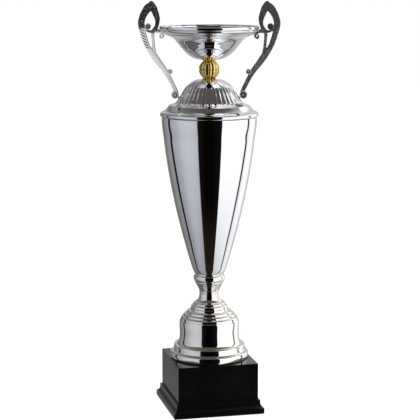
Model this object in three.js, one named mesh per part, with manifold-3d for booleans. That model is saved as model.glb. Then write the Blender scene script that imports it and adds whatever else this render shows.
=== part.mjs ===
// Cup trophy: a two-handled loving cup on a square plinth, held together by one tie rod.
// Millimetres, +Z up. The origin is the centre of the felt's underside, and the plinth's
// front faces -Y. Everything above the plinth is turned a few degrees from square to it.
import * as THREE from 'three';
import { mergeVertices } from 'three/addons/utils/BufferGeometryUtils.js';
import Module from 'manifold-3d';

const wasm = await Module();
wasm.setup();

// ---------------------------------------------------------------- driving dimensions
const gap = 0.2;              // assembly clearance between pieces that touch
const cutGap = 0.3;           // clearance where one piece is shaped to another
const wall = 1.0;             // spun sheet metal
const turns = 32;             // facets round a spun piece
const smallTurns = 20;        // facets round a small turned piece
const cupTurn = THREE.MathUtils.degToRad(13.3);

const feltThickness = 1.0;
const plinth = { block: 61.1, ledge: 64, slab: 69.2, wall: 6, rebate: 59, hole: 14 };
const plinthZ = { slabTop: 8.8, coveTop: 16.5, ledgeTop: 20.6, roof: 70, top: 76 };
const bush = { neck: 13.8, flange: 19, bottom: 58 };        // turned, pushed up into the roof
const board = { half: 58.7, thickness: 3 };
const ballast = { halfLength: 48, inner: 21, outer: 51, thickness: 10 };   // a bar each side

const rod = { radius: 3, hole: 3.6, bottom: 46, top: 534 };
const nut = { acrossFlats: 10, height: 5, bore: 3.25 };
const washer = { radius: 9, thickness: 1.4 };
const capNut = { domeRadius: 4.7, depth: 6.5 };

const footTop = 152.2;
const neckTop = 175.3;
const coneBottom = 204.2;
const coneRim = { radius: 70.8, z: 442.3 };
const domeTop = 497.2;
const knop = { radius: 15.4, height: 17, z: 511.6, pole: 12.2 };   // a slightly tall ball
const lowerCollar = { radius: 9.4, z: domeTop + gap, height: 1.8 };
const upperCollar = { radius: 8.9, z: knop.z + knop.pole + gap, height: 2.2 };
const bowlBottom = upperCollar.z + upperCollar.height + gap;
const bowlRim = { radius: 73.3, z: 575.1 };

const handleThickness = 5.6;
const domeScrew = { shank: 1.5, hole: 1.8, head: 2.8, headHeight: 2, reach: 6.5, pad: 3.4 };
const bowlScrew = { shank: 1.25, hole: 1.5, head: 2.3, headHeight: 1.6, reach: 4.6, pad: 2.7 };

// ---------------------------------------------------------------- materials
function finish(color, roughness, metalness) {
  return new THREE.MeshStandardMaterial({ color, roughness, metalness });
}

const finishes = {
  silver: finish('#d9dbde', 0.08, 1.0),
  gold: finish('#d9a520', 0.15, 1.0),
  pewter: finish('#4c4d50', 0.35, 0.9),
  steel: finish('#9a9ca0', 0.35, 0.9),
  iron: finish('#45464a', 0.7, 0.6),
  gloss: finish('#0c0c0e', 0.06, 0.0),
  fibre: finish('#3a3026', 0.85, 0.0),
  felt: finish('#171a18', 1.0, 0.0),
};

// ---------------------------------------------------------------- geometry helpers
function signedVolume(geometry) {
  const p = geometry.attributes.position;
  const index = geometry.index.array;
  const [a, b, c] = [new THREE.Vector3(), new THREE.Vector3(), new THREE.Vector3()];
  let sum = 0;
  for (let i = 0; i < index.length; i += 3) {
    a.fromBufferAttribute(p, index[i]);
    b.fromBufferAttribute(p, index[i + 1]);
    c.fromBufferAttribute(p, index[i + 2]);
    sum += a.dot(b.cross(c)) / 6;
  }
  return sum;
}

// One closed body with shared corners and its faces pointing out.
function closed(geometry) {
  const bare = geometry.clone();
  bare.deleteAttribute('normal');
  bare.deleteAttribute('uv');
  const merged = mergeVertices(bare, 1e-4);
  if (signedVolume(merged) < 0) merged.index.array.reverse();
  return merged;
}

function toSolid(geometry) {
  const merged = closed(geometry);
  const vertProperties = new Float32Array(merged.attributes.position.array);
  const triVerts = new Uint32Array(merged.index.array);
  return new wasm.Manifold(new wasm.Mesh({ numProp: 3, vertProperties, triVerts }));
}

function toGeometry(solid) {
  const mesh = solid.getMesh();
  const geometry = new THREE.BufferGeometry();
  geometry.setAttribute('position', new THREE.BufferAttribute(mesh.vertProperties, 3));
  geometry.setIndex(new THREE.BufferAttribute(mesh.triVerts, 1));
  return geometry;
}

// A turned body from [radius, z] points, with its axis along Z.
function turned(points, segments = turns, start = 0) {
  const outline = points.map(([r, z]) => new THREE.Vector2(r, z));
  const lathe = new THREE.LatheGeometry(outline, segments, start);
  return closed(lathe.rotateX(Math.PI / 2));
}

// The outline moved sideways; a positive distance goes to the right of the way it runs,
// which is the inner side of a profile that runs down the outside of a piece.
function offset(points, distance) {
  return points.map(([r, z], i) => {
    const before = points[Math.max(i - 1, 0)];
    const after = points[Math.min(i + 1, points.length - 1)];
    const first = new THREE.Vector2(r - before[0], z - before[1]).normalize();
    const second = new THREE.Vector2(after[0] - r, after[1] - z).normalize();
    if (i === 0) first.copy(second);
    if (i === points.length - 1) second.copy(first);
    const along = first.clone().add(second).normalize();
    const mitre = distance / Math.max(along.dot(first), 0.6);
    return [r + along.y * mitre, z - along.x * mitre];
  });
}

function spunShell(outer, segments = turns) {
  const inner = offset(outer, wall).reverse();
  return turned([...outer, ...inner, outer[0]], segments);
}

function bored(outer, bore) {
  const [top, bottom] = [outer[0][1], outer[outer.length - 1][1]];
  return turned([[bore, top], ...outer, [bore, bottom], [bore, top]], smallTurns);
}

// A cylinder from z = `bottom` to `top`, as a cutting tool or a boss.
function post(radius, bottom, top) {
  return toSolid(turned([[0, top], [radius, top], [radius, bottom], [0, bottom]], smallTurns));
}

function ring(outerRadius, bore, bottom, height) {
  return bored([[outerRadius, bottom + height], [outerRadius, bottom]], bore);
}

// A square moulding: a four-sided lathe whose profile is given as half widths.
function squareMoulding(points) {
  return turned(points.map(([half, z]) => [half * Math.SQRT2, z]), 4, Math.PI / 4);
}

function slab(half, bottom, thickness) {
  const top = bottom + thickness;
  return squareMoulding([[0, top], [half, top], [half, bottom], [0, bottom]]);
}

function arc(centre, radii, from, to, steps) {
  return Array.from({ length: steps + 1 }, (_, i) => {
    const angle = THREE.MathUtils.degToRad(from + ((to - from) * i) / steps);
    return [centre[0] + radii[0] * Math.cos(angle), centre[1] + radii[1] * Math.sin(angle)];
  });
}

// A round bar from `start` to `end` in the handle's plane, as points [u, z].
function crossPin(start, end, radius, segments = 16) {
  const run = new THREE.Vector2(end[0] - start[0], end[1] - start[1]);
  const bar = new THREE.CylinderGeometry(radius, radius, run.length(), segments);
  bar.rotateX(Math.PI / 2);
  bar.rotateY(Math.atan2(run.x, run.y));
  return bar.translate((start[0] + end[0]) / 2, 0, (start[1] + end[1]) / 2);
}

// ---------------------------------------------------------------- plinth pieces
function plinthShell() {
  const cove = arc([plinth.slab, plinthZ.coveTop], [plinth.slab - plinth.ledge,
    plinthZ.coveTop - plinthZ.slabTop], 180, 270, 5);
  const cavity = plinth.block - plinth.wall;
  const under = feltThickness + gap;
  const rebateTop = under + board.thickness + gap;
  const body = toSolid(squareMoulding([
    [0, plinthZ.top], [plinth.block, plinthZ.top], [plinth.block, plinthZ.ledgeTop],
    [plinth.ledge, plinthZ.ledgeTop], ...cove, [plinth.slab, under], [plinth.rebate, under],
    [plinth.rebate, rebateTop], [cavity, rebateTop], [cavity, plinthZ.roof], [0, plinthZ.roof],
  ]));
  return toGeometry(body.subtract(post(plinth.hole, plinthZ.roof - 1, plinthZ.top + 1)));
}

function rodBush() {
  const flangeTop = plinthZ.roof - gap;
  return bored([[bush.neck, plinthZ.top], [bush.neck, flangeTop], [bush.flange, flangeTop],
    [bush.flange, bush.bottom]], rod.hole);
}

// One of the two bars glued up under the roof, in front of the rod (-1) or behind it (1).
function ballastBar(side) {
  const width = ballast.outer - ballast.inner;
  const bar = new THREE.BoxGeometry(2 * ballast.halfLength, width, ballast.thickness);
  const middle = side * (ballast.inner + ballast.outer) / 2;
  return bar.translate(0, middle, plinthZ.roof - gap - ballast.thickness / 2);
}

function hexNut(bottom) {
  const corner = nut.acrossFlats / Math.sqrt(3);
  const body = toSolid(turned([[0, bottom + nut.height], [corner, bottom + nut.height],
    [corner, bottom], [0, bottom]], 6));
  return toGeometry(body.subtract(post(nut.bore, bottom - 1, bottom + nut.height + 1)));
}

function domedNut(bottom) {
  const corner = nut.acrossFlats / Math.sqrt(3);
  const hexTop = bottom + nut.height;
  const hex = toSolid(turned([[0, hexTop], [corner, hexTop], [corner, bottom], [0, bottom]], 6));
  const domeArc = arc([0, hexTop - 1], [capNut.domeRadius, capNut.domeRadius], 90, 0, 5);
  const dome = toSolid(turned([...domeArc, [0, hexTop - 1]], smallTurns));
  return toGeometry(hex.add(dome).subtract(post(nut.bore, bottom - 1, bottom + capNut.depth)));
}

// ---------------------------------------------------------------- stack profiles, top to bottom
const bowlProfile = [
  [bowlRim.radius, bowlRim.z], [bowlRim.radius, 571.4], [71.9, 569.9], [71.5, 568.0],
  [65.2, 563.9], [61.4, 561.6], [55.5, 559.2], [51.8, 556.6], [45.4, 549.0], [39.1, 541.0],
  [31.5, 533.7], [26.1, 529.9], [20.9, 527.5], [16.6, bowlBottom], [rod.hole, bowlBottom],
];

const domeProfile = [
  [rod.hole, domeTop], [14.6, domeTop], [19.4, 496.4], [27.0, 492.6], [34.9, 485.7],
  [38.5, 480.9], [42.4, 474.3], [46.6, 467.7], [50.2, 463.3], [54.4, 460.6], [60.0, 459.2],
  [61.2, 457.0], [63.8, 453.3],
  [71.8, 449.2], [73.4, 447.2], [73.4, 443.8], [72.4, 442.9], [69.6, coneRim.z + gap],
];

const coneProfile = [
  [coneRim.radius, coneRim.z], [68.7, 414.3], [66.0, 391.9], [62.8, 369.3], [58.7, 346.7],
  [54.6, 324.1], [49.9, 301.3], [44.2, 278.5], [38.1, 255.6], [31.7, 232.6], [24.1, 209.5],
  [20.5, coneBottom], [rod.hole, coneBottom],
];

const collarCupProfile = [
  [20.7, coneBottom - gap], [22.9, 201.8], [24.0, 197.6], [23.2, 193.0], [20.8, 188.0],
  [17.2, 181.5], [15.1, 177.6], [14.8, neckTop + gap],
];

const neckProfile = [
  [14.8, neckTop], [16.0, 171.0], [17.9, 166.8], [21.2, 161.5], [25.6, 156.6], [27.7, 154.0],
  [27.7, footTop + gap],
];

const footProfile = [
  [rod.hole, footTop], [28.4, footTop], [32.1, 149.2], [39.6, 143.0], [44.4, 134.6],
  [45.4, 131.6], [45.4, 108.0], [48.2, 101.4], [53.0, 97.2], [53.8, 91.6], [58.2, 87.2],
  [59.3, 83.4], [59.3, 79.2], [58.3, plinthZ.top + gap],
];

const knopArc = Math.asin(knop.pole / knop.height) * THREE.MathUtils.RAD2DEG;
const seamAngle = (gap / 2 / knop.radius) * THREE.MathUtils.RAD2DEG;
const ballCentre = [0, knop.z];
const ballRadii = [knop.radius, knop.height];
const knopUpperProfile = [[rod.hole, knop.z + knop.pole],
  ...arc(ballCentre, ballRadii, knopArc, seamAngle, 6)];
const knopLowerProfile = [...arc(ballCentre, ballRadii, -seamAngle, -knopArc, 6),
  [rod.hole, knop.z - knop.pole]];

// ---------------------------------------------------------------- handle
// Bands of the handle's scrollwork in its own plane, as [u, z, half width].
const outerBand = [
  [84.4, 611.0, 1.2], [90.2, 603.4, 4.4], [96.8, 595.2, 5.2], [100.2, 583.5, 4.9],
  [99.2, 572.0, 4.6], [96.8, 560.0, 4.9], [91.9, 548.0, 4.6], [85.6, 537.0, 4.8],
  [78.6, 526.2, 4.4], [69.6, 514.0, 3.9], [61.0, 502.6, 3.4], [55.0, 491.6, 2.8],
  [50.8, 483.2, 3.0], [48.0, 476.6, 3.6],
];
const innerBand = [
  [84.4, 611.0, 1.2], [79.6, 600.4, 4.0], [77.4, 589.0, 4.1], [76.8, 580.6, 2.9],
  [79.2, 573.4, 2.7], [83.2, 567.6, 3.1], [83.4, 559.0, 1.9], [82.8, 550.0, 1.8],
  [80.8, 540.0, 2.6], [77.0, 531.0, 2.8],
];
const bowlBand = [
  [83.4, 567.6, 3.2], [77.8, 567.4, 2.3], [73.2, 566.6, 2.3], [70.0, 564.0, 2.2],
  [70.4, 560.6, 2.0],
];
const scrolls = [[90.4, 574.6, 5.2], [57.9, 508.0, 4.2], [50.8, 473.6, 5.8], [71.5, 561.4, 3.2]];

// The line of each screw: where it meets the shell, and the way out of the shell.
const domeSeat = { point: [45.1, 470.1], out: [0.844, 0.537] };
const bowlSeat = { point: [68.7, 566.2], out: [0.575, -0.818] };

function band(stations, steps) {
  const places = stations.map(([u, z, half]) => new THREE.Vector3(u, z, half));
  const spine = new THREE.CatmullRomCurve3(places);
  const [left, right] = [[], []];
  for (let i = 0; i <= steps; i += 1) {
    const at = spine.getPoint(i / steps);
    const along = spine.getTangent(i / steps);
    const side = new THREE.Vector2(-along.y, along.x).normalize().multiplyScalar(at.z);
    left.push(new THREE.Vector2(at.x + side.x, at.y + side.y));
    right.unshift(new THREE.Vector2(at.x - side.x, at.y - side.y));
  }
  return plate(new THREE.Shape([...left, ...right]));
}

function plate(shape) {
  const block = new THREE.ExtrudeGeometry(shape, { depth: handleThickness, bevelEnabled: false });
  return toSolid(block.translate(0, 0, -handleThickness / 2).rotateX(Math.PI / 2));
}

function disc([u, z, radius]) {
  const points = arc([u, z], [radius, radius], 0, 342, 19);
  return plate(new THREE.Shape(points.map(([x, y]) => new THREE.Vector2(x, y))));
}

function along(seat, distance) {
  return [seat.point[0] + seat.out[0] * distance, seat.point[1] + seat.out[1] * distance];
}

function filled(profile, clearance) {
  const outer = offset(profile, -clearance);
  return toSolid(turned([[0, outer[0][1]], ...outer, [0, outer[outer.length - 1][1]]]));
}

function handle() {
  let solid = band(outerBand, 34).add(band(innerBand, 26)).add(band(bowlBand, 12));
  for (const scroll of scrolls) solid = solid.add(disc(scroll));
  for (const [seat, screw] of [[domeSeat, domeScrew], [bowlSeat, bowlScrew]]) {
    solid = solid.add(toSolid(crossPin(along(seat, -1), along(seat, screw.reach + 0.6), screw.pad)));
  }
  solid = solid.subtract(filled(domeProfile, cutGap)).subtract(filled(bowlProfile, cutGap));
  for (const [seat, screw] of [[domeSeat, domeScrew], [bowlSeat, bowlScrew]]) {
    const end = along(seat, screw.reach + gap);
    solid = solid.subtract(toSolid(crossPin(along(seat, -3), end, screw.hole)));
  }
  return toGeometry(solid);
}

// A cheese-head screw driven outwards from inside a shell into a handle pad.
function screwFor(seat, screw) {
  const headTop = -(wall + cutGap);
  const headEnd = along(seat, headTop - screw.headHeight);
  const head = toSolid(crossPin(headEnd, along(seat, headTop), screw.head));
  const shankRoot = along(seat, headTop - 1);
  const shank = toSolid(crossPin(shankRoot, along(seat, screw.reach), screw.shank, 12));
  return toGeometry(head.add(shank));
}

function drilled(profile, seat, radius) {
  let solid = toSolid(spunShell(profile));
  const drill = crossPin(along(seat, -4), along(seat, 3), radius);
  solid = solid.subtract(toSolid(drill));
  return toGeometry(solid.subtract(toSolid(drill.clone().rotateZ(Math.PI))));
}

// ---------------------------------------------------------------- assembly
const trophy = new THREE.Group();
const cup = new THREE.Group();
cup.rotation.z = -cupTurn;
trophy.add(cup);

function place(parent, name, geometry, material, rotationZ = 0) {
  const mesh = new THREE.Mesh(geometry, material);
  mesh.name = name;
  mesh.rotation.z = rotationZ;
  parent.add(mesh);
}

place(trophy, 'felt_sheet', slab(plinth.slab - 1, 0, feltThickness), finishes.felt);
place(trophy, 'bottom_board', slab(board.half, feltThickness + gap, board.thickness), finishes.fibre);
place(trophy, 'plinth_shell', plinthShell(), finishes.gloss);
place(trophy, 'rod_bush', rodBush(), finishes.fibre);
place(trophy, 'ballast_front', ballastBar(-1), finishes.iron);
place(trophy, 'ballast_back', ballastBar(1), finishes.iron);

const baseWasherZ = bush.bottom - gap - washer.thickness;
const bowlWasherZ = bowlBottom + wall + gap;
place(cup, 'tie_rod', toGeometry(post(rod.radius, rod.bottom, rod.top)), finishes.steel);
place(cup, 'base_washer', ring(washer.radius, rod.hole, baseWasherZ, washer.thickness), finishes.steel);
place(cup, 'base_nut', hexNut(baseWasherZ - gap - nut.height), finishes.steel);
place(cup, 'foot_bell', spunShell(footProfile), finishes.silver);
place(cup, 'stem_neck', bored(neckProfile, rod.hole), finishes.silver);
place(cup, 'collar_cup', bored(collarCupProfile, rod.hole), finishes.silver);
place(cup, 'cone_body', spunShell(coneProfile), finishes.silver);
place(cup, 'shoulder_dome', drilled(domeProfile, domeSeat, domeScrew.hole), finishes.silver);
place(cup, 'lower_collar', ring(lowerCollar.radius, rod.hole, lowerCollar.z, lowerCollar.height),
  finishes.gold);
place(cup, 'knop_lower_half', spunShell(knopLowerProfile, smallTurns), finishes.gold);
place(cup, 'knop_upper_half', spunShell(knopUpperProfile, smallTurns), finishes.gold);
place(cup, 'upper_collar', ring(upperCollar.radius, rod.hole, upperCollar.z, upperCollar.height),
  finishes.gold);
place(cup, 'bowl', drilled(bowlProfile, bowlSeat, bowlScrew.hole), finishes.silver);
place(cup, 'bowl_washer', ring(washer.radius, rod.hole, bowlWasherZ, washer.thickness), finishes.steel);
place(cup, 'cap_nut', domedNut(bowlWasherZ + washer.thickness + gap), finishes.steel);

const handleGeometry = handle();
const domeScrewGeometry = screwFor(domeSeat, domeScrew);
const bowlScrewGeometry = screwFor(bowlSeat, bowlScrew);
for (const [side, angle] of [['right', 0], ['left', Math.PI]]) {
  place(cup, `handle_${side}`, handleGeometry, finishes.pewter, angle);
  place(cup, `dome_screw_${side}`, domeScrewGeometry, finishes.steel, angle);
  place(cup, `bowl_screw_${side}`, bowlScrewGeometry, finishes.steel, angle);
}

export default trophy;
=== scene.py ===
import math

import bmesh
import bpy
from mathutils import Matrix, Vector
from mathutils.kdtree import KDTree
from mathutils.noise import noise as noiseAt


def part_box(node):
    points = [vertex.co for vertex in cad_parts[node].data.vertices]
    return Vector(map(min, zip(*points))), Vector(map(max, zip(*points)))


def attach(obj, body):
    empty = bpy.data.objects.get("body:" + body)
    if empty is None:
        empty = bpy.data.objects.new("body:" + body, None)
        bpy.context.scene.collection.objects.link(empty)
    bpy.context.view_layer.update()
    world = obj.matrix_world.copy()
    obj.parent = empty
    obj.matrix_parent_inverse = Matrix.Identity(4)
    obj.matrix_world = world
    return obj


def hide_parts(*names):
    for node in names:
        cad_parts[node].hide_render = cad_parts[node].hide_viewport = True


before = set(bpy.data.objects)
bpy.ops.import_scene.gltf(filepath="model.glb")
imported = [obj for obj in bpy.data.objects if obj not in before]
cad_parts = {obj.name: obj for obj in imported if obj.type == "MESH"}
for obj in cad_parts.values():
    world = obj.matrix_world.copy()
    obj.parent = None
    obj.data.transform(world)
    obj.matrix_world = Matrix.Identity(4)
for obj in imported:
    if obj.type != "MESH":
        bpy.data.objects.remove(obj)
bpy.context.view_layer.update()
mm = 0.001
print("frame loaded:", len(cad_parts), "nodes")


# where things are, from the frame
def bottomOf(node):
    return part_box(node)[0].z


rightLow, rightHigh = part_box("handle_right")
handleAngle = math.atan2(rightLow.y + rightHigh.y, rightLow.x + rightHigh.x)
cupTurn = Matrix.Rotation(handleAngle, 4, "Z")

# camera and surroundings
studio = {
    "distance": 2.191, "height": 0.6546, "tiltDown": 9.163, "lens": 126.78, "shift": 0.0018,
    "sensor": 36.0, "farthest": 60.0, "floorSize": 12.0, "floorDrop": 0.0005, "paper": 0.5,
    "paperRoughness": 0.9,
}


def makeCamera(v):
    camera = bpy.data.objects.new("camera", bpy.data.cameras.new("camera"))
    camera.data.lens = v["lens"]
    camera.data.sensor_width = v["sensor"]
    camera.data.shift_x = v["shift"]
    camera.data.clip_end = v["farthest"]
    place = Vector((0.0, -v["distance"], v["height"]))
    camera.location = cupTurn @ place
    camera.rotation_euler = (math.radians(90.0 - v["tiltDown"]), 0.0, handleAngle)
    bpy.context.scene.collection.objects.link(camera)
    bpy.context.scene.camera = camera


def link(tree, source, target):
    tree.links.new(source, target)


def math2(tree, operation, a, b=None):
    node = tree.nodes.new("ShaderNodeMath")
    node.operation = operation
    for socket, value in zip(node.inputs, (a, b)):
        if value is None:
            continue
        if isinstance(value, (int, float)):
            socket.default_value = value
        else:
            link(tree, value, socket)
    return node.outputs[0]


def ramp(tree, factor, stops):
    node = tree.nodes.new("ShaderNodeValToRGB")
    elements = node.color_ramp.elements
    while len(elements) < len(stops):
        elements.new(0.5)
    for element, (place, colour) in zip(elements, stops):
        element.position = place
        element.color = (*colour, 1.0)
    link(tree, factor, node.inputs[0])
    return node.outputs[0]


def mixColour(tree, factor, a, b, blend="MIX"):
    node = tree.nodes.new("ShaderNodeMix")
    node.data_type = "RGBA"
    node.blend_type = blend
    if isinstance(factor, (int, float)):
        node.inputs[0].default_value = factor
    else:
        link(tree, factor, node.inputs[0])
    for socket, value in ((node.inputs[6], a), (node.inputs[7], b)):
        if isinstance(value, tuple):
            socket.default_value = (*value, 1.0)
        else:
            link(tree, value, socket)
    return node.outputs[2]


def smoothStep(tree, value, low, high):
    node = tree.nodes.new("ShaderNodeMapRange")
    node.interpolation_type = "SMOOTHSTEP"
    node.inputs[1].default_value = min(low, high)
    node.inputs[2].default_value = max(low, high)
    node.inputs[3].default_value = 0.0 if low < high else 1.0
    node.inputs[4].default_value = 1.0 if low < high else 0.0
    link(tree, value, node.inputs[0])
    return node.outputs[0]


# Softboxes left and right with a dark gap between them where the camera stands, a dark
# slot beyond each, and a dim ceiling in front. Angles are in degrees from the camera.
lights = {
    "level": [
        (-180, (0.50, 0.50, 0.49)), (-165, (0.44, 0.44, 0.45)), (-156, (0.22, 0.22, 0.22)),
        (-146, (0.15, 0.15, 0.155)), (-135, (0.26, 0.26, 0.265)), (-117.4, (0.31, 0.315, 0.325)),
        (-117.0, (0.012, 0.014, 0.022)), (-109.0, (0.012, 0.014, 0.022)),
        (-108.6, (0.36, 0.365, 0.39)), (-95, (0.415, 0.425, 0.455)), (-75, (0.54, 0.56, 0.61)),
        (-55, (0.60, 0.62, 0.67)), (-38, (0.57, 0.59, 0.635)), (-29.6, (0.50, 0.51, 0.54)),
        (-29.2, (0.009, 0.007, 0.005)), (-8, (0.0012, 0.0012, 0.0012)), (8, (0.0015, 0.0015, 0.0016)),
        (31.0, (0.006, 0.006, 0.0075)), (31.4, (1.25, 1.26, 1.28)), (100, (1.2, 1.21, 1.24)),
        (105.8, (0.95, 0.96, 1.0)), (106.2, (0.012, 0.014, 0.022)), (112.2, (0.012, 0.014, 0.022)),
        (112.6, (0.85, 0.86, 0.89)), (121, (1.12, 1.12, 1.14)), (137, (1.12, 1.13, 1.13)),
        (146, (0.74, 0.74, 0.74)), (156, (0.56, 0.56, 0.56)), (180, (0.66, 0.66, 0.65)),
    ],
    "overhead": [
        (-180, (0.42, 0.41, 0.39)), (-150, (0.30, 0.29, 0.29)), (-120, (0.17, 0.16, 0.155)),
        (-70, (0.105, 0.092, 0.085)), (0, (0.085, 0.074, 0.068)), (55, (0.088, 0.078, 0.076)),
        (85, (0.13, 0.13, 0.13)), (105, (0.34, 0.34, 0.34)), (130, (0.62, 0.62, 0.63)),
        (160, (0.9, 0.9, 0.88)), (180, (0.7, 0.69, 0.66)),
    ],
    "fall": [
        (-90, 0.34), (-60, 0.42), (-42, 0.58), (-34, 0.76), (-28, 0.85), (-20, 0.93), (-12, 1.0),
        (90, 1.0),
    ],
    "ceilingStart": 38.0, "ceilingFull": 44.0,
    "slotShift": 0.72, "slotFrom": -13.0, "slotSideStart": 60.0, "slotSideFull": 90.0,
    "floorGlow": (0.016, 0.012, 0.009), "glowStart": -30.0, "glowFull": -48.0,
}


def makeWorld(v):
    world = bpy.data.worlds.new("studio")
    bpy.context.scene.world = world
    world.use_nodes = True
    tree = world.node_tree
    tree.nodes.clear()
    where = tree.nodes.new("ShaderNodeTexCoord")
    turn = tree.nodes.new("ShaderNodeMapping")
    turn.inputs["Rotation"].default_value = (0.0, 0.0, -handleAngle)
    link(tree, where.outputs["Generated"], turn.inputs["Vector"])
    axes = tree.nodes.new("ShaderNodeSeparateXYZ")
    link(tree, turn.outputs[0], axes.inputs[0])
    towardCamera = math2(tree, "MULTIPLY", axes.outputs[1], -1.0)
    radians = math2(tree, "ARCTAN2", axes.outputs[0], towardCamera)
    azimuth = math2(tree, "MULTIPLY", radians, 180.0 / math.pi)
    elevation = math2(tree, "MULTIPLY", math2(tree, "ARCSINE", axes.outputs[2]), 180.0 / math.pi)

    # the dark slots lean in towards the camera lower down
    below = math2(tree, "MAXIMUM", math2(tree, "SUBTRACT", v["slotFrom"], elevation), 0.0)
    lean = math2(tree, "MULTIPLY", below, v["slotShift"])
    outward = smoothStep(tree, math2(tree, "ABSOLUTE", azimuth), v["slotSideStart"],
                         v["slotSideFull"])
    side = math2(tree, "MULTIPLY", math2(tree, "SIGN", azimuth), outward)
    leaned = math2(tree, "ADD", azimuth, math2(tree, "MULTIPLY", lean, side))

    def sweep(angle, stops):
        around = math2(tree, "DIVIDE", math2(tree, "ADD", angle, 180.0), 360.0)
        return ramp(tree, around, [((a + 180.0) / 360.0, colour) for a, colour in stops])

    upDown = math2(tree, "DIVIDE", math2(tree, "ADD", elevation, 90.0), 180.0)
    fall = ramp(tree, upDown, [((a + 90.0) / 180.0, (f, f, f)) for a, f in v["fall"]])
    level = mixColour(tree, 1.0, sweep(leaned, v["level"]), fall, "MULTIPLY")
    lowShare = smoothStep(tree, elevation, v["glowStart"], v["glowFull"])
    level = mixColour(tree, lowShare, level, v["floorGlow"], "ADD")
    overheadShare = smoothStep(tree, elevation, v["ceilingStart"], v["ceilingFull"])
    light = mixColour(tree, overheadShare, level, sweep(azimuth, v["overhead"]))
    seen = tree.nodes.new("ShaderNodeBackground")
    link(tree, light, seen.inputs[0])
    white = tree.nodes.new("ShaderNodeBackground")
    white.inputs[0].default_value = (1.0, 1.0, 1.0, 1.0)
    path = tree.nodes.new("ShaderNodeLightPath")
    mixer = tree.nodes.new("ShaderNodeMixShader")
    link(tree, path.outputs["Is Camera Ray"], mixer.inputs[0])
    link(tree, seen.outputs[0], mixer.inputs[1])
    link(tree, white.outputs[0], mixer.inputs[2])
    out = tree.nodes.new("ShaderNodeOutputWorld")
    link(tree, mixer.outputs[0], out.inputs[0])


def makeFloor(v):
    bm = bmesh.new()
    bmesh.ops.create_grid(bm, x_segments=1, y_segments=1, size=v["floorSize"] / 2)
    mesh = bpy.data.meshes.new("floor")
    bm.to_mesh(mesh)
    bm.free()
    floor = bpy.data.objects.new("floor", mesh)
    floor.location.z = -v["floorDrop"]
    bpy.context.scene.collection.objects.link(floor)
    floor.visible_glossy = False
    paper = bpy.data.materials.new("floorPaper")
    paper.use_nodes = True
    shader = paper.node_tree.nodes["Principled BSDF"]
    shader.inputs["Base Color"].default_value = (v["paper"], v["paper"], v["paper"], 1.0)
    shader.inputs["Roughness"].default_value = v["paperRoughness"]
    shader.inputs["Emission Color"].default_value = (1.0, 1.0, 1.0, 1.0)
    shader.inputs["Emission Strength"].default_value = 1.0
    mesh.materials.append(paper)


bpy.context.scene.view_settings.view_transform = "Standard"
makeCamera(studio)
makeWorld(lights)
makeFloor(studio)
print("camera, surroundings and floor made")


# materials
def newGroup(name, inputs, outputs):
    group = bpy.data.node_groups.new(name, "ShaderNodeTree")
    for label, kind, value in inputs:
        socket = group.interface.new_socket(label, in_out="INPUT", socket_type=kind)
        socket.default_value = value
    for label, kind in outputs:
        group.interface.new_socket(label, in_out="OUTPUT", socket_type=kind)
    return group, group.nodes.new("NodeGroupInput"), group.nodes.new("NodeGroupOutput")


def noise(tree, scale, detail, vector):
    node = tree.nodes.new("ShaderNodeTexNoise")
    node.inputs["Detail"].default_value = detail
    link(tree, scale, node.inputs["Scale"])
    link(tree, vector, node.inputs["Vector"])
    return node.outputs["Fac"]


# Handling marks and polishing haze: a roughness and a tint that wander over the surface.
def makeHandling():
    group, gIn, gOut = newGroup("handling", [
        ("Base Roughness", "NodeSocketFloat", 0.04), ("Haze", "NodeSocketFloat", 0.03),
        ("Scale", "NodeSocketFloat", 30.0), ("Clean", "NodeSocketColor", (1, 1, 1, 1)),
        ("Dull", "NodeSocketColor", (0.8, 0.8, 0.8, 1)),
    ], [("Colour", "NodeSocketColor"), ("Roughness", "NodeSocketFloat")])
    where = group.nodes.new("ShaderNodeTexCoord")
    wander = noise(group, gIn.outputs["Scale"], 3.0, where.outputs["Object"])
    patches = smoothStep(group, wander, 0.45, 0.75)
    extra = math2(group, "MULTIPLY", patches, gIn.outputs["Haze"])
    rough = math2(group, "ADD", extra, gIn.outputs["Base Roughness"])
    link(group, rough, gOut.inputs["Roughness"])
    colour = mixColour(group, patches, gIn.outputs["Clean"], gIn.outputs["Dull"])
    link(group, colour, gOut.inputs["Colour"])
    return group


# Fine relief that a Bump node turns into a normal: pitted, fibrous or orange peel.
def makeGrain():
    group, gIn, gOut = newGroup("grain", [
        ("Scale", "NodeSocketFloat", 400.0), ("Fine Share", "NodeSocketFloat", 0.4),
    ], [("Height", "NodeSocketFloat")])
    where = group.nodes.new("ShaderNodeTexCoord")
    coarse = noise(group, gIn.outputs["Scale"], 2.0, where.outputs["Object"])
    finer = math2(group, "MULTIPLY", gIn.outputs["Scale"], 4.0)
    fine = noise(group, finer, 2.0, where.outputs["Object"])
    share = math2(group, "MULTIPLY", fine, gIn.outputs["Fine Share"])
    link(group, math2(group, "ADD", coarse, share), gOut.inputs["Height"])
    return group


handlingGroup = makeHandling()
grainGroup = makeGrain()


def newMaterial(name, metallic):
    material = bpy.data.materials.new(name)
    material.use_nodes = True
    shader = material.node_tree.nodes["Principled BSDF"]
    shader.inputs["Metallic"].default_value = metallic
    return material, material.node_tree, shader


def addHandling(tree, shader, clean, dull, roughness, haze, scale):
    node = tree.nodes.new("ShaderNodeGroup")
    node.node_tree = handlingGroup
    node.inputs["Base Roughness"].default_value = roughness
    node.inputs["Haze"].default_value = haze
    node.inputs["Scale"].default_value = scale
    node.inputs["Clean"].default_value = (*clean, 1.0)
    node.inputs["Dull"].default_value = (*dull, 1.0)
    link(tree, node.outputs["Colour"], shader.inputs["Base Color"])
    link(tree, node.outputs["Roughness"], shader.inputs["Roughness"])


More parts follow.
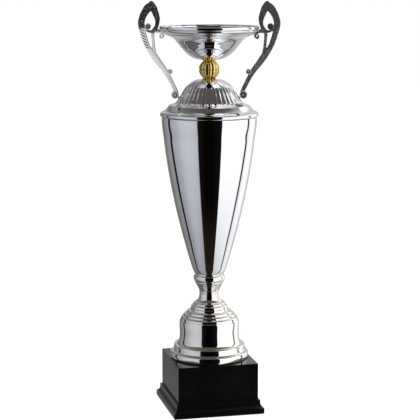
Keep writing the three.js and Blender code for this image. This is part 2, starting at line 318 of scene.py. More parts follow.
def addGrain(tree, shader, scale, fineShare, depth, share=1.0):
    node = tree.nodes.new("ShaderNodeGroup")
    node.node_tree = grainGroup
    node.inputs["Scale"].default_value = scale
    node.inputs["Fine Share"].default_value = fineShare
    bump = tree.nodes.new("ShaderNodeBump")
    bump.inputs["Strength"].default_value = 1.0
    bump.inputs["Distance"].default_value = depth
    link(tree, math2(tree, "MULTIPLY", node.outputs["Height"], share), bump.inputs["Height"])
    link(tree, bump.outputs["Normal"], shader.inputs["Normal"])


finishes = {
    "silver": dict(metallic=1.0, clean=(0.93, 0.93, 0.94), dull=(0.88, 0.88, 0.89),
                   roughness=0.018, haze=0.02, scale=22.0, grain=None),
    "warmSilver": dict(metallic=1.0, clean=(0.93, 0.91, 0.865), dull=(0.89, 0.86, 0.80),
                       roughness=0.018, haze=0.02, scale=30.0, grain=None),
    "glossBlack": dict(metallic=0.0, clean=(0.004, 0.004, 0.0045), dull=(0.007, 0.007, 0.007),
                       roughness=0.025, haze=0.05, scale=18.0, grain=(260.0, 0.1, 0.000004)),
    "zinc": dict(metallic=1.0, clean=(0.62, 0.63, 0.64), dull=(0.46, 0.47, 0.46),
                 roughness=0.28, haze=0.2, scale=160.0, grain=(900.0, 0.4, 0.00003)),
    "nickel": dict(metallic=1.0, clean=(0.80, 0.80, 0.79), dull=(0.66, 0.66, 0.66),
                   roughness=0.08, haze=0.1, scale=160.0, grain=(700.0, 0.3, 0.000008)),
    "iron": dict(metallic=0.6, clean=(0.13, 0.13, 0.135), dull=(0.16, 0.12, 0.10),
                 roughness=0.55, haze=0.3, scale=60.0, grain=(500.0, 0.5, 0.0001)),
    "fibreboard": dict(metallic=0.0, clean=(0.20, 0.15, 0.11), dull=(0.14, 0.10, 0.075),
                       roughness=0.8, haze=0.15, scale=120.0, grain=(900.0, 0.8, 0.0001)),
    "felt": dict(metallic=0.0, clean=(0.012, 0.014, 0.013), dull=(0.02, 0.022, 0.02),
                 roughness=0.95, haze=0.05, scale=300.0, grain=(1500.0, 1.0, 0.0002)),
}


def makeFinish(name, v):
    material, tree, shader = newMaterial(name, v["metallic"])
    addHandling(tree, shader, v["clean"], v["dull"], v["roughness"], v["haze"], v["scale"])
    if v["grain"]:
        addGrain(tree, shader, *v["grain"])
    return material


# the groove colour is painted shade in the grooves of the gold ball and its collars
gilding = dict(metallic=1.0, clean=(0.95, 0.71, 0.25), dull=(0.50, 0.31, 0.06), roughness=0.03,
               haze=0.04, scale=90.0, grain=None, groove=(0.26, 0.15, 0.03))


def makeGilt(v):
    # gilding with painted shade: dark and brown down in the grooves
    material = makeFinish("gilt", v)
    tree = material.node_tree
    colour = tree.nodes["Principled BSDF"].inputs["Base Color"]
    hollow = tree.nodes.new("ShaderNodeAttribute")
    hollow.attribute_name = "groove"
    plain = colour.links[0].from_socket
    link(tree, mixColour(tree, hollow.outputs["Fac"], plain, v["groove"]), colour)
    return material


# Cast relief: dark patina in the hollows, pale where rubbing has taken it off what stands proud. A
# second mask lays a painted highlight, near white and less metallic, over part of it.
patina = {
    "hollow": (0.02, 0.019, 0.018), "flat": (0.12, 0.113, 0.106), "crest": (0.68, 0.67, 0.66),
    "paintedHighlight": (0.92, 0.94, 0.96), "highlightHollow": (0.16, 0.165, 0.17), "flatFrom": 0.4,
    "highlightFrom": 0.22, "darkMetal": 0.35, "brightMetal": 0.2, "satin": 0.05,
    "stainScale": 240.0, "roughness": 0.34, "haze": 0.16, "stain": (0.55, 0.54, 0.53),
    "highlightHidesStain": 0.85, "grain": (1400.0, 0.35, 0.00003),
}


def makeAntique(v):
    material, tree, shader = newMaterial("antiqueSilver", 1.0)
    rubAndPaintedLightNode = tree.nodes.new("ShaderNodeAttribute")
    rubAndPaintedLightNode.attribute_name = "rubAndPaintedLight"
    paintedHighlight = tree.nodes.new("ShaderNodeAttribute")
    paintedHighlight.attribute_name = "paintedHighlightMask"
    stains = tree.nodes.new("ShaderNodeGroup")
    stains.node_tree = handlingGroup
    stains.inputs["Scale"].default_value = v["stainScale"]
    stains.inputs["Base Roughness"].default_value = v["roughness"]
    stains.inputs["Haze"].default_value = v["haze"]
    stains.inputs["Dull"].default_value = (*v["stain"], 1.0)
    shades = [(0.0, v["hollow"]), (v["flatFrom"], v["flat"]), (1.0, v["crest"])]
    dark = ramp(tree, rubAndPaintedLightNode.outputs["Fac"], shades)
    # painted highlight: a near-white colour standing in for light the arm reflects, darker in its
    # hollows
    shades = [(0.0, v["highlightHollow"]), (v["highlightFrom"], v["paintedHighlight"])]
    bright = ramp(tree, rubAndPaintedLightNode.outputs["Fac"], shades)
    wearAndPaintedLight = mixColour(tree, paintedHighlight.outputs["Fac"], dark, bright)
    # the stains mostly drop out under the painted highlight
    stainHiddenByHighlight = math2(tree, "MULTIPLY", paintedHighlight.outputs["Fac"], v["highlightHidesStain"])
    tarnished = math2(tree, "SUBTRACT", 1.0, stainHiddenByHighlight)
    tinted = mixColour(tree, tarnished, wearAndPaintedLight, stains.outputs["Colour"], "MULTIPLY")
    link(tree, tinted, shader.inputs["Base Color"])
    rougher = math2(tree, "MULTIPLY", paintedHighlight.outputs["Fac"], v["satin"])
    roughness = math2(tree, "ADD", stains.outputs["Roughness"], rougher)
    link(tree, roughness, shader.inputs["Roughness"])
    metal = math2(tree, "MULTIPLY", paintedHighlight.outputs["Fac"], v["brightMetal"] - v["darkMetal"])
    link(tree, math2(tree, "ADD", metal, v["darkMetal"]), shader.inputs["Metallic"])
    addGrain(tree, shader, *v["grain"], tarnished)
    return material


materials = {name: makeFinish(name, values) for name, values in finishes.items()}
materials["gilt"] = makeGilt(gilding)
materials["antique"] = makeAntique(patina)
print("materials made:", len(materials))


# mesh tools
mergeWithin = 0.000002


def smoothOutline(points, step=1.2):
    # points are (radius, height) in mm; a third item marks a corner, and the rest is one curve
    outline = []
    last = len(points) - 1
    corner = [i in (0, last) or len(p) > 2 for i, p in enumerate(points)]
    flat = [Vector(p[:2]) for p in points]
    for i in range(last):
        a, b = flat[i], flat[i + 1]
        before = a if corner[i] else flat[i - 1]
        after = b if corner[i + 1] else flat[i + 2]
        count = max(1, math.ceil((b - a).length / step))
        if corner[i] and corner[i + 1]:
            count = 1
        reach = (b - a).length
        startSlope = tangentAt(before, a, b, corner[i]) * reach
        endSlope = tangentAt(a, b, after, corner[i + 1]) * reach
        for k in range(count):
            outline.append(hermite(a, b, startSlope, endSlope, k / count))
    outline.append(flat[last])
    return outline


def tangentAt(before, here, after, isCorner):
    if isCorner:
        other = after if before == here else before
        sign = 1.0 if before == here else -1.0
        return (other - here).normalized() * sign
    into = here - before
    out = after - here
    blend = into.normalized() * out.length + out.normalized() * into.length
    return blend.normalized()


def hermite(a, b, startSlope, endSlope, t):
    t2, t3 = t * t, t * t * t
    return ((2 * t3 - 3 * t2 + 1) * a + (t3 - 2 * t2 + t) * startSlope
            + (3 * t2 - 2 * t3) * b + (t3 - t2) * endSlope)


def spin(bm, outline, base, steps, closed=False):
    verts = [bm.verts.new((p.x * mm, 0.0, base + p.y * mm)) for p in outline]
    ahead = verts[1:] + verts[:1] if closed else verts[1:]
    edges = [bm.edges.new(pair) for pair in zip(verts, ahead)]
    bmesh.ops.spin(bm, geom=verts + edges, cent=(0, 0, 0), axis=(0, 0, 1), dvec=(0, 0, 0),
                   angle=2 * math.pi, steps=steps, use_merge=True, use_duplicate=False)
    bmesh.ops.remove_doubles(bm, verts=bm.verts[:], dist=mergeWithin)
    bmesh.ops.recalc_face_normals(bm, faces=bm.faces[:])


def finishPiece(bm, name, material, body, node, sharpAngle=35.0):
    mesh = bpy.data.meshes.new(name)
    bm.to_mesh(mesh)
    bm.free()
    for face in mesh.polygons:
        face.use_smooth = True
    mesh.set_sharp_from_angle(angle=math.radians(sharpAngle))
    mesh.materials.append(materials[material])
    piece = bpy.data.objects.new(name, mesh)
    bpy.context.scene.collection.objects.link(piece)
    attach(piece, body)
    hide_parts(node)
    return piece


def addWall(piece, thickness):
    wall = piece.modifiers.new("wall", "SOLIDIFY")
    wall.thickness = thickness
    wall.offset = -1.0
    wall.use_even_offset = True


# spun silver pieces, each outline in mm as radius and height above its own lowest point
spunSteps = 180
shellWall = 0.9 * mm

footBell = {"node": "foot_bell", "outline": [
    (3.6, 76.0), (27.8, 76.0, "c"), (28.3, 75.5), (28.4, 74.4), (28.6, 72.8, "c"), (31.6, 72.5),
    (33.9, 71.2), (34.9, 69.0), (35.0, 68.2, "c"), (37.4, 67.8), (39.1, 66.2), (39.8, 64.0, "c"),
    (41.6, 63.2), (43.0, 61.6), (43.5, 59.4, "c"), (44.6, 57.6), (45.3, 54.9), (45.4, 52.4),
    (45.4, 31.0), (45.9, 27.2), (47.6, 23.6), (50.0, 21.4), (52.9, 20.8, "c"), (53.7, 19.6),
    (53.8, 16.4), (53.8, 13.2, "c"), (54.6, 11.8), (56.6, 11.1), (58.1, 10.2), (59.2, 7.6),
    (59.4, 5.0), (59.0, 1.6), (58.3, 0.0),
]}
stemNeck = {"node": "stem_neck", "outline": [
    (3.6, 22.9), (14.0, 22.9), (14.7, 22.5), (14.9, 21.8), (14.9, 20.8, "c"), (15.3, 18.4),
    (16.4, 14.8), (18.2, 11.6), (20.4, 9.4, "c"), (22.6, 8.8), (24.0, 7.4), (24.4, 5.2, "c"),
    (26.2, 4.6), (27.3, 3.3), (27.6, 1.3), (27.6, 0.0, "c"), (3.6, 0.0),
]}
collarCup = {"node": "collar_cup", "outline": [
    (3.6, 28.5), (20.2, 28.5, "c"), (21.8, 27.9), (23.4, 26.1), (24.0, 23.5), (23.6, 20.7),
    (22.4, 18.2), (21.8, 17.2, "c"), (22.0, 16.4), (21.5, 15.3), (20.0, 12.6), (17.7, 8.5),
    (15.9, 4.8), (15.1, 2.4, "c"), (15.5, 1.7), (15.5, 0.9), (15.1, 0.2, "c"), (3.6, 0.0),
]}
coneBody = {"node": "cone_body", "outline": [
    (69.8, 238.0), (70.8, 237.6), (70.92, 236), (67.99, 204), (63.83, 172), (58.5, 140),
    (52.06, 108), (44.59, 76), (36.13, 44), (27.37, 14), (24.9, 6.4), (23.6, 3.4), (22.4, 1.4),
    (20.6, 0.2), (3.6, 0.0),
]}
bowl = {"node": "bowl", "outline": [
    (72.6, 48.8), (73.1, 48.6), (73.4, 48.0), (73.4, 45.4), (73.1, 44.7), (72.2, 44.2, "c"),
    (71.8, 43.4), (71.6, 41.8, "c"), (70.6, 40.6), (67.4, 38.5), (65.4, 37.7, "c"), (64.9, 36.7),
    (63.6, 36.0), (62.2, 35.7, "c"), (61.2, 35.0), (58.6, 34.0), (55.4, 32.6), (51.8, 30.0),
    (45.4, 22.6), (39.1, 14.8), (31.8, 7.5), (26.2, 3.6), (20.9, 1.2), (16.4, 0.2), (14.0, 0.0),
    (3.6, 0.0),
]}


def makeSpun(v, name, material="silver", wall=shellWall):
    bm = bmesh.new()
    spin(bm, smoothOutline(v["outline"]), bottomOf(v["node"]), spunSteps, closed=wall is None)
    piece = finishPiece(bm, name, material, "cup", v["node"])
    if wall:
        addWall(piece, wall)


makeSpun(footBell, "footBell", "warmSilver")
makeSpun(stemNeck, "stemNeck", "warmSilver", wall=None)
makeSpun(collarCup, "collarCup", "warmSilver", wall=None)
makeSpun(coneBody, "coneBody")
makeSpun(bowl, "bowl")
print("foot, neck, collar, body and bowl made")

# shoulder: spun, then fluted
shoulder = {
    "node": "shoulder_dome", "flutes": 42, "perFlute": 8, "depth": 0.62, "top": 45.0, "bottom": 17.6,
    "rounding": 5.0, "slope": 0.62, "step": 0.9,
    "outline": [
        (3.6, 54.7), (13.0, 54.7), (18.2, 54.1), (22.6, 52.7), (27.0, 50.1), (31.2, 46.8),
        (34.9, 43.2), (38.5, 38.4), (42.4, 31.8), (46.6, 25.2), (50.2, 20.8), (53.4, 18.6),
        (57.6, 17.2), (59.8, 16.9, "c"), (60.8, 15.6), (63.2, 12.4), (65.8, 9.6, "c"),
        (67.8, 8.2), (70.4, 7.1), (72.2, 6.0), (73.2, 4.7), (73.5, 3.2), (73.3, 1.4),
        (72.6, 0.5), (71.6, 0.0), (69.8, 0.0),
    ],
}


def makeShoulder(v):
    bm = bmesh.new()
    base = bottomOf(v["node"])
    spin(bm, smoothOutline(v["outline"], v["step"]), base, v["flutes"] * v["perFlute"])
    for vert in bm.verts:
        height = (vert.co.z - base) / mm
        fromEnd = min(v["top"] - height, height - v["bottom"])
        if fromEnd <= 0:
            continue
        radius = math.hypot(vert.co.x, vert.co.y)
        angle = math.atan2(vert.co.y, vert.co.x) - handleAngle
        ended = min(1.0, fromEnd / v["rounding"])
        swell = math.sqrt(1.0 - (1.0 - ended) ** 2)
        scoop = abs(math.sin(angle * v["flutes"] / 2))
        scoop = max(0.0, scoop - (1.0 - swell)) * swell
        inward = v["depth"] * mm * scoop
        vert.co -= Vector((vert.co.x / radius, vert.co.y / radius, v["slope"])) * inward
    piece = finishPiece(bm, "shoulderDome", "silver", "cup", v["node"], sharpAngle=50.0)
    addWall(piece, shellWall)


makeShoulder(shoulder)
print("fluted shoulder made")

# gold ball: two ribbed halves between two scalloped collars
knop = {
    "pole": 12.2, "ribs": 14, "perRib": 16, "depth": 0.95, "start": 98.0, "innermost": 8.0,
    "fadeIn": 2.0, "bore": 3.6, "step": 0.8,
    "outline": [
        (3.6, 12.2), (8.9, 12.2, "c"), (9.6, 11.6), (10.6, 10.9), (12.5, 8.8), (14.1, 6.2),
        (15.1, 3.6), (15.3, 1.8), (15.0, 0.7), (14.2, 0.0),
    ],
}


def scallop(bm, depth, innermost):
    # "groove" says how deep in a groove each point is, for the painted shade in the gilding
    ribs, start, fadeIn = knop["ribs"], knop["start"], knop["fadeIn"]
    wearAndPaintedLight = bm.verts.layers.float.new("groove")
    for vert in bm.verts:
        radius = math.hypot(vert.co.x, vert.co.y)
        if radius < innermost * mm:
            continue
        angle = math.atan2(vert.co.y, vert.co.x) - handleAngle + math.radians(start)
        groove = depth * mm * (1.0 - abs(math.sin(angle * ribs / 2)))
        groove *= min(1.0, (radius - innermost * mm) / (fadeIn * mm))
        # painted shade: the deeper in a groove a point lies, the darker its gilding is painted
        vert[wearAndPaintedLight] = (groove / (depth * mm)) ** 1.5
        vert.co.x *= 1.0 - groove / radius
        vert.co.y *= 1.0 - groove / radius


def makeKnopHalf(v, name, node, upper):
    outline = smoothOutline(v["outline"], v["step"]) + [Vector((v["bore"], 0.0))]
    if not upper:
        outline = [Vector((p.x, v["pole"] - p.y)) for p in outline]
    bm = bmesh.new()
    spin(bm, outline, bottomOf(node), v["ribs"] * v["perRib"], closed=True)
    scallop(bm, v["depth"], v["innermost"])
    finishPiece(bm, name, "gilt", "cup", node, sharpAngle=50.0)


collarRings = {"depth": 1.0, "innermost": 7.0, "step": 0.4, "rings": [
    {"node": "lower_collar", "name": "lowerCollar",
     "outline": [(3.6, 1.8), (8.8, 1.8), (9.9, 1.6), (10.4, 0.9), (9.9, 0.2), (9.2, 0.0), (3.6, 0.0)]},
    {"node": "upper_collar", "name": "upperCollar",
     "outline": [(3.6, 2.2), (8.4, 2.2), (9.5, 1.9), (9.9, 1.1), (9.5, 0.3), (8.4, 0.0), (3.6, 0.0)]},
]}


def makeCollarRing(v, ring):
    bm = bmesh.new()
    outline = smoothOutline(ring["outline"], v["step"])
    spin(bm, outline, bottomOf(ring["node"]), knop["ribs"] * knop["perRib"], closed=True)
    scallop(bm, v["depth"], v["innermost"])
    finishPiece(bm, ring["name"], "gilt", "cup", ring["node"], sharpAngle=50.0)


makeKnopHalf(knop, "knopUpperHalf", "knop_upper_half", True)
makeKnopHalf(knop, "knopLowerHalf", "knop_lower_half", False)
for ring in collarRings["rings"]:
    makeCollarRing(collarRings, ring)
print("gold ball and collars made")

# plinth: a square moulding, mitred at the corners
plinth = {"node": "plinth_shell", "coveSteps": 14, "edge": 0.5, "slab": 68.9, "ledge": 63.9,
          "block": 61.0, "slabTop": 7.6, "coveTop": 15.3, "ledgeTop": 19.4, "height": 74.8,
          "wall": 6.0, "rebate": 59.0, "rebateTop": 3.2, "roof": 68.8, "hole": 14.3,
          "creaseAngle": 0.5}


def makePlinth(v):
    base = bottomOf(v["node"])
    cavity = v["block"] - v["wall"]
    outline = [(v["hole"], v["height"]), (v["block"], v["height"]), (v["block"], v["ledgeTop"]),
               (v["ledge"], v["ledgeTop"])]
    for i in range(v["coveSteps"] + 1):
        angle = math.pi / 2 * i / v["coveSteps"]
        outline.append((v["slab"] - (v["slab"] - v["ledge"]) * math.cos(angle),
                        v["coveTop"] - (v["coveTop"] - v["slabTop"]) * math.sin(angle)))
    outline += [(v["slab"], 0.0), (v["rebate"], 0.0), (v["rebate"], v["rebateTop"]),
                (cavity, v["rebateTop"]), (cavity, v["roof"]), (v["hole"], v["roof"]),
                (v["hole"], v["height"])]
    bm = bmesh.new()
    spin(bm, [Vector((half * math.sqrt(2), height)) for half, height in outline], base, 4)
    bmesh.ops.rotate(bm, verts=bm.verts[:], cent=(0, 0, 0), matrix=Matrix.Rotation(math.pi / 4, 3, "Z"))
    # only the edges on the outside are rounded
    low = cavity * mm * 0.99
    creases = [e for e in bm.edges if len(e.link_faces) == 2 and e.calc_face_angle() > v["creaseAngle"]
               and max(abs(e.verts[0].co.x), abs(e.verts[0].co.y)) > (v["rebate"] + 0.5) * mm
               and max(abs(e.verts[1].co.x), abs(e.verts[1].co.y)) > low]
    bmesh.ops.bevel(bm, geom=creases, offset=v["edge"] * mm, segments=3, affect="EDGES",
                    profile=0.5, material=-1, clamp_overlap=True)
    piece = finishPiece(bm, "plinthShell", "glossBlack", "plinth", v["node"],
                        sharpAngle=30.0)
    flat = piece.modifiers.new("flat faces", "WEIGHTED_NORMAL")
    flat.weight = 100
    flat.keep_sharp = True


makePlinth(plinth)
print("plinth made")

# handles: cast openwork, built flat in the handle's own plane, then turned into place
# Bands run from the top down as (distance from the axis, height, half width) in mm.
handle = {
    "halfThickness": 2.75, "step": 0.7, "across": 12, "voxel": 0.38, "smoothing": 5,
    "outerBand": [
        (84.8, 611.6, 0.9), (86.2, 608.7, 2.8), (88.0, 604.9, 4.9), (91.2, 600.3, 5.9),
        (94.8, 595.0, 5.4), (97.9, 588.8, 5.1), (99.8, 581.4, 5.1), (99.7, 575.0, 4.8),
        (98.9, 570.0, 4.3), (97.4, 565.0, 4.3), (95.6, 558.6, 4.2), (92.7, 550.3, 4.0),
        (89.4, 543.0, 3.9), (85.0, 536.4, 4.4), (80.6, 530.4, 5.0), (74.3, 521.6, 4.7),
        (67.2, 512.3, 4.1), (60.8, 502.6, 3.6), (55.2, 491.6, 3.2), (51.0, 483.2, 3.2),
        (48.6, 477.4, 3.4),
    ],
    "innerBand": [
        (84.8, 611.6, 0.9), (83.4, 608.2, 2.9), (81.9, 601.7, 5.3), (78.9, 594.2, 4.8),
        (76.5, 586.8, 4.0), (76.2, 581.4, 3.3), (77.2, 576.0, 2.9), (79.4, 572.0, 2.8),
        (82.0, 568.6, 2.8), (83.3, 563.6, 2.5), (83.1, 558.6, 2.3), (82.5, 550.3, 2.2),
        (81.8, 543.0, 2.4), (80.9, 537.0, 2.7), (79.9, 532.4, 1.8),
    ],
    "rails": [
        [(94.4, 574.6, 1.3), (93.8, 571.2, 1.4), (91.4, 568.6, 1.6), (88.2, 567.4, 1.8),
         (84.2, 567.5, 2.0), (79.6, 568.9, 1.8), (75.9, 569.4, 1.5), (72.4, 568.9, 1.2)],
        [(83.4, 558.8, 1.8), (83.6, 563.4, 1.9), (81.6, 566.4, 1.9), (77.4, 567.0, 1.8),
         (73.0, 566.4, 1.8), (69.6, 564.6, 1.8), (67.7, 561.5, 1.8), (68.5, 558.8, 1.6),
         (70.9, 557.7, 1.5), (73.0, 559.0, 1.3)],
    ],
    "volutes": [  # centre, outer radius, turns, start angle in degrees, winding, half width
        (89.9, 574.4, 5.0, 1.5, -75.0, 1, 1.0),
        (57.9, 508.3, 4.1, 1.4, 10.0, 1, 0.95),
        (50.4, 474.1, 6.4, 1.7, 120.0, -1, 1.15),
    ],
    "voluteStep": 0.5, "voluteStations": 14, "tighten": 0.52, "openTurn": 0.5, "taper": 0.25,
    "discInset": 0.6, "discDepth": 1.8, "buttonShare": 0.25, "buttonHeight": 2.4,
    "balls": [(72.4, 560.9, 1.6), (84.8, 610.0, 2.0)],
    "granules": (430.0, 0.34), "loopBottom": 576.0, "lobeBottom": 543.0, "ropeTop": 505.0,
    "lobePitch": 4.6, "lobeSlant": 0.9, "cutBottom": 541.0, "cutFade": 4.0, "armReach": 5.0,
    "knotSide": 81.0, "knotInside": 567.2, "knotOutside": 564.5, "ringEdge": (0.55, 0.68),
    "ringEye": (0.22, 0.34), "ringPast": 0.2, "loopFrom": 560.0,
}

# half the thickness of each kind of band in mm, how far its crown, rim or ridges rise, and
# over what height one kind changes into the next
relief = {
    "rail": 1.7, "railCrown": 0.85, "railSlope": 0.25, "loop": 1.95, "loopRim": 0.40,
    "loopSpine": 0.25, "inner": 1.5, "innerRise": 0.85, "innerFrom": 566.0, "innerTo": 572.0,
    "lobe": 1.35, "lobeRise": 1.15, "lobeRound": 0.7, "facet": 0.75, "facetRise": 1.95,
    "bead": 0.55, "rib": 1.55, "ribRise": 0.85, "change": 4.0, "loopChange": 3.0,
}


def curveThrough(stations, step):
    # a Catmull-Rom curve through the stations, sampled about every step
    padded = [stations[0]] + list(stations) + [stations[-1]]
    samples = []
    for i in range(1, len(padded) - 2):
        p0, p1, p2, p3 = (Vector(p) for p in padded[i - 1:i + 3])
        count = max(1, round((p2 - p1).length / step))
        for k in range(count):
            t = k / count
            samples.append(0.5 * (2 * p1 + (p2 - p0) * t + (2 * p0 - 5 * p1 + 4 * p2 - p3) * t * t
                                  + (3 * p1 - p0 - 3 * p2 + p3) * t ** 3))
    samples.append(Vector(stations[-1]))
    return samples


def ease(value, low, high):
    t = min(1.0, max(0.0, (value - low) / (high - low)))
    return t * t * (3.0 - 2.0 * t)


def between(low, high, share):
    return high * share + low * (1.0 - share)


def bandHeight(v, kind, along, across, height, half):
    # half the thickness of a band at one place; across runs from -1 inside to 1 outside
    r = relief
    edge = 1.0 - ease(abs(across), 0.80, 1.0) * 0.5
    rim = r["loopRim"] * (ease(abs(across), 0.50, 0.66) - ease(abs(across), 0.78, 0.96))
    if kind == "rail":
        crown = r["rail"] + r["railCrown"] * (1.0 - across * across) ** 0.5
        return crown * (1.0 - r["railSlope"] * ease(-abs(across), -0.25, 0.0))
    loop = (r["loop"] + rim + r["loopSpine"] * (1.0 - ease(abs(across), 0.0, 0.3))) * edge
    if kind == "inner":
        lower = (r["inner"] + r["innerRise"] * ease(1.0 - across, 0.0, 1.3)) * edge
        return between(lower, loop, ease(height, r["innerFrom"], r["innerTo"]))
    phase = along / v["lobePitch"] + across * half * v["lobeSlant"] / v["lobePitch"]
    lobe = abs(math.sin(math.pi * phase)) ** r["lobeRound"]
    lobed = (r["lobe"] + r["lobeRise"] * lobe) * edge
    if height > v["lobeBottom"] + r["change"]:
        return between(lobed, loop, ease(height, v["loopBottom"] - r["loopChange"], v["loopBottom"]))
    facet = r["facet"] + r["facetRise"] * ease(1.0 - across, 0.0, 1.55)
    bead = r["bead"] * ease(-across, 0.52, 0.62) * (1.0 - ease(-across, 0.62, 0.74))
    facet = (facet - bead) * edge
    if height > v["ropeTop"] + r["change"]:
        share = ease(height, v["lobeBottom"] - r["change"], v["lobeBottom"] + r["change"])
        return between(facet, lobed, share)
    ribs = (r["rib"] + r["ribRise"] * abs(math.sin(math.pi * across))) * edge
    share = ease(height, v["ropeTop"] - r["change"], v["ropeTop"] + r["change"])
    return between(ribs, facet, share)


def addBand(bm, v, samples, kind):
    rows = len(samples) - 1
    around = v["across"] * 2
    grid = bmesh.ops.create_grid(bm, x_segments=rows, y_segments=around, size=0.5)
    lengths = [0.0]
    for a, b in zip(samples, samples[1:]):
        lengths.append(lengths[-1] + (b - a).xy.length)
    for vert in grid["verts"]:
        i = round((vert.co.x + 0.5) * rows)
        j = round((vert.co.y + 0.5) * around)
        here = samples[i]
        ahead = samples[min(i + 1, rows)] - samples[max(i - 1, 0)]
        tangent = Vector((ahead.x, ahead.y)).normalized()
        side = Vector((-tangent.y, tangent.x))
        front = j <= v["across"]
        across = math.cos(math.pi * j / v["across"])
        thick = min(v["halfThickness"], bandHeight(v, kind, lengths[i], across, here.y, here.z))
        thick *= abs(math.sin(math.pi * j / v["across"])) ** 0.3
        place = Vector((here.x, here.y)) + side * across * here.z
        vert.co = Vector((place.x, -thick if front else thick, place.y)) * mm
    bmesh.ops.remove_doubles(bm, verts=grid["verts"], dist=0.00001)
    openEdges = [e for e in bm.edges if e.is_boundary]
    bmesh.ops.holes_fill(bm, edges=openEdges, sides=0)


def voluteStations(v, volute):
    cu, cz, radius, turns, start, winding, half = volute
    count = int(turns * v["voluteStations"])
    stations = []
    for i in range(count + 1):
        t = i / count
        angle = math.radians(start) + winding * t * turns * 2 * math.pi
        tightened = v["tighten"] * max(0.0, t * turns - v["openTurn"]) / (turns - v["openTurn"])
        reach = (radius - half) * (1.0 - tightened)
        stations.append((cu + reach * math.cos(angle), cz + reach * math.sin(angle),
                         half * (1.0 - v["taper"] * t)))
    return stations


def addVolute(bm, v, volute):
    cu, cz, radius = volute[:3]
    addBand(bm, v, curveThrough(voluteStations(v, volute), v["voluteStep"]), "rail")
    turned = Matrix.Rotation(math.pi / 2, 4, "X")
    place = Matrix.Translation(Vector((cu, 0.0, cz)) * mm)
    disc = (radius - v["discInset"]) * mm
    bmesh.ops.create_cone(bm, cap_ends=True, segments=40, radius1=disc, radius2=disc,
                          depth=v["discDepth"] * mm, matrix=place @ turned)
    button = radius * v["buttonShare"]
    raised = Matrix.Diagonal((1.0, v["buttonHeight"] / button, 1.0, 1.0))
    bmesh.ops.create_uvsphere(bm, u_segments=20, v_segments=12, radius=button * mm,
                              matrix=place @ raised)


def makeHandleBlank(v):
    bm = bmesh.new()
    addBand(bm, v, curveThrough(v["outerBand"], v["step"]), "outer")
    addBand(bm, v, curveThrough(v["innerBand"], v["step"]), "inner")
    for rail in v["rails"]:
        addBand(bm, v, curveThrough(rail, v["step"]), "rail")
    for volute in v["volutes"]:
        addVolute(bm, v, volute)
    for u, z, radius in v["balls"]:
        place = Matrix.Translation(Vector((u, 0.0, z)) * mm)
        bmesh.ops.create_uvsphere(bm, u_segments=16, v_segments=12, radius=radius * mm, matrix=place)
    bmesh.ops.recalc_face_normals(bm, faces=bm.faces[:])
    mesh = bpy.data.meshes.new("handleBlank")
    bm.to_mesh(mesh)
    bm.free()
    blank = bpy.data.objects.new("handleBlank", mesh)
    bpy.context.scene.collection.objects.link(blank)
    fuse = blank.modifiers.new("fuse", "REMESH")
    fuse.mode = "VOXEL"
    fuse.voxel_size = v["voxel"] * mm
    graph = bpy.context.evaluated_depsgraph_get()
    fused = bpy.data.meshes.new_from_object(blank.evaluated_get(graph))
    bpy.data.objects.remove(blank)
    return fused


def armPlaces(v):
    # the outer band's line, with how far along it each sample is
    samples = curveThrough(v["outerBand"], v["step"])
    tree = KDTree(len(samples))
    lengths = [0.0]
    for i, here in enumerate(samples):
        tree.insert((here.x, here.y, 0.0), i)
        if i:
            lengths.append(lengths[-1] + (here - samples[i - 1]).xy.length)
    tree.balance()
    return samples, lengths, tree


def grooveAt(v, arm, u, z):
    # 1 in the slanting cuts of the outer arm, 0 elsewhere
    samples, lengths, tree = arm
    i = tree.find((u, z, 0.0))[1]
    here = samples[i]
    ahead = samples[min(i + 1, len(samples) - 1)] - samples[max(i - 1, 0)]
    tangent = Vector((ahead.x, ahead.y)).normalized()
    offset = Vector((u - here.x, z - here.y))
    across = (tangent.x * offset.y - tangent.y * offset.x) / here.z
    along = lengths[i] + offset.dot(tangent)
    if abs(across) > 1.0:
        return 0.0
    phase = along / v["lobePitch"] + across * here.z * v["lobeSlant"] / v["lobePitch"]
    cut = ease(abs(math.cos(math.pi * phase)), 0.72, 0.93)
    return cut * ease(across, -0.55, -0.25) * ease(z, v["cutBottom"], v["cutBottom"] + v["cutFade"])


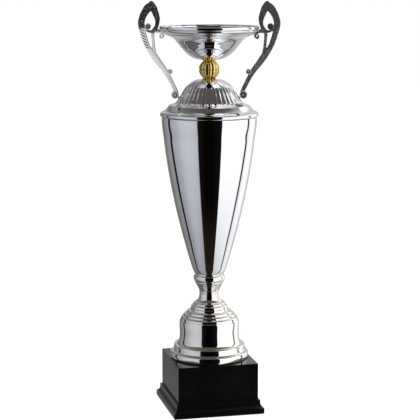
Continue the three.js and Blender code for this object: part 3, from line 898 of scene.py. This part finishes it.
def makeHandle(v, name, node, turn, tone):
    bm = bmesh.new()
    bm.from_mesh(handleMesh)
    for step in range(v["smoothing"]):
        bmesh.ops.smooth_vert(bm, verts=bm.verts[:], factor=0.5, use_axis_x=True, use_axis_y=True,
                              use_axis_z=True)
    bm.normal_update()
    rubAndPaintedLight = bm.verts.layers.float.new("rubAndPaintedLight")
    paintedHighlightMask = bm.verts.layers.float.new("paintedHighlightMask")
    scale, depth = v["granules"]
    arm = armPlaces(v)
    moves = []
    for vert in bm.verts:
        u, height = vert.co.x / mm, vert.co.z / mm
        # painted highlight: laid over the handle below highlightBelow
        paintedHighlight = 1.0 - ease(height, tone["highlightBelow"] - 3.0, tone["highlightBelow"] + 1.0)
        inArm = arm[2].find((u, height, 0.0))[2] < v["armReach"]
        grain = noiseAt(vert.co * scale) + 0.5 * noiseAt(vert.co * scale * 2.1)
        rough = ease(height, v["lobeBottom"] - 6.0, v["lobeBottom"] + 8.0) * (1.0 - 0.9 * paintedHighlight)
        rough = max(rough, tone["leastRough"] * (1.0 - paintedHighlight))
        moves.append(vert.normal * (grain * depth * mm * rough))
        # the painted highlight is kept out of the slanting cuts
        if paintedHighlight > 0.0 and height > v["cutBottom"]:
            paintedHighlight *= 1.0 - tone["cutDark"] * grooveAt(v, arm, u, height)
        # painted shade: the highlight fades on faces turned in towards the cup
        paintedHighlight *= 1.0 - tone["inwardShade"] * ease(-vert.normal.x, 0.35, 0.75)
        # the painted highlight is also mostly kept off the knot, away from the arm
        if height > (v["knotInside"] if u < v["knotSide"] else v["knotOutside"]) and not inArm:
            paintedHighlight *= tone["knotHighlight"]
        proud = ease(abs(vert.co.y) / mm, 1.4, 2.6)
        speck = ease(grain, tone["speckFrom"], tone["speckFrom"] + 0.35)
        wearAndPaintedLight = tone["base"] + tone["proud"] * proud + tone["speck"] * speck * proud
        # under the painted highlight the tone value is raised too
        wearAndPaintedLight = max(wearAndPaintedLight, tone["highlightRub"] * paintedHighlight)
        for volute in v["volutes"]:
            cu, cz, radius = volute[:3]
            away = math.hypot(u - cu, height - cz)
            if away < radius + v["ringPast"]:
                eye = 1.0 - ease(away / radius, *v["ringEye"])
                raised = max(ease(away / radius, *v["ringEdge"]), eye)
                wearAndPaintedLight = tone["loopRing" if cz > v["loopFrom"] else "ring"] * raised
        vert[rubAndPaintedLight] = min(1.0, wearAndPaintedLight)
        vert[paintedHighlightMask] = paintedHighlight
    for vert, move in zip(bm.verts, moves):
        vert.co += move
    bmesh.ops.rotate(bm, verts=bm.verts[:], cent=(0, 0, 0), matrix=Matrix.Rotation(turn, 3, "Z"))
    finishPiece(bm, name, "antique", "cup", node, sharpAngle=60.0)


# one handle is blackened all over; on the other only the loop is, and the arm carries a painted
# highlight. The two tones are lit and shaded copies of one finish: their differences in base, specks,
# rings and highlight are painted light.
sharedTone = {"proud": 0.16, "highlightRub": 0.3, "leastRough": 0.22, "cutDark": 0.85,
              "inwardShade": 0.6, "knotHighlight": 0.12}
darkTone = {**sharedTone, "highlightBelow": 0.0, "base": 0.24, "speck": 0.34, "speckFrom": 0.1,
            "ring": 0.95, "loopRing": 0.42}
paintedLightTone = {**sharedTone, "highlightBelow": 573.0, "base": 0.04, "speck": 1.0, "speckFrom": 0.12,
              "ring": 0.9, "loopRing": 1.0}
handleMesh = makeHandleBlank(handle)
makeHandle(handle, "handleRight", "handle_right", handleAngle, darkTone)
makeHandle(handle, "handleLeft", "handle_left", handleAngle + math.pi, paintedLightTone)
print("handles made:", len(handleMesh.vertices), "points each")

# pieces whose CAD shape is right keep it and get a finish
keptFinishes = {
    "felt_sheet": "felt", "bottom_board": "fibreboard", "rod_bush": "fibreboard",
    "ballast_front": "iron", "ballast_back": "iron", "tie_rod": "zinc",
    "base_washer": "zinc", "base_nut": "zinc", "bowl_washer": "zinc", "cap_nut": "nickel",
    "dome_screw_right": "zinc", "dome_screw_left": "zinc", "bowl_screw_right": "zinc",
    "bowl_screw_left": "zinc",
}
for node, finish in keptFinishes.items():
    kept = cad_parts[node]
    kept.data.materials.clear()
    kept.data.materials.append(materials[finish])
print("finishes given to", len(keptFinishes), "kept parts")
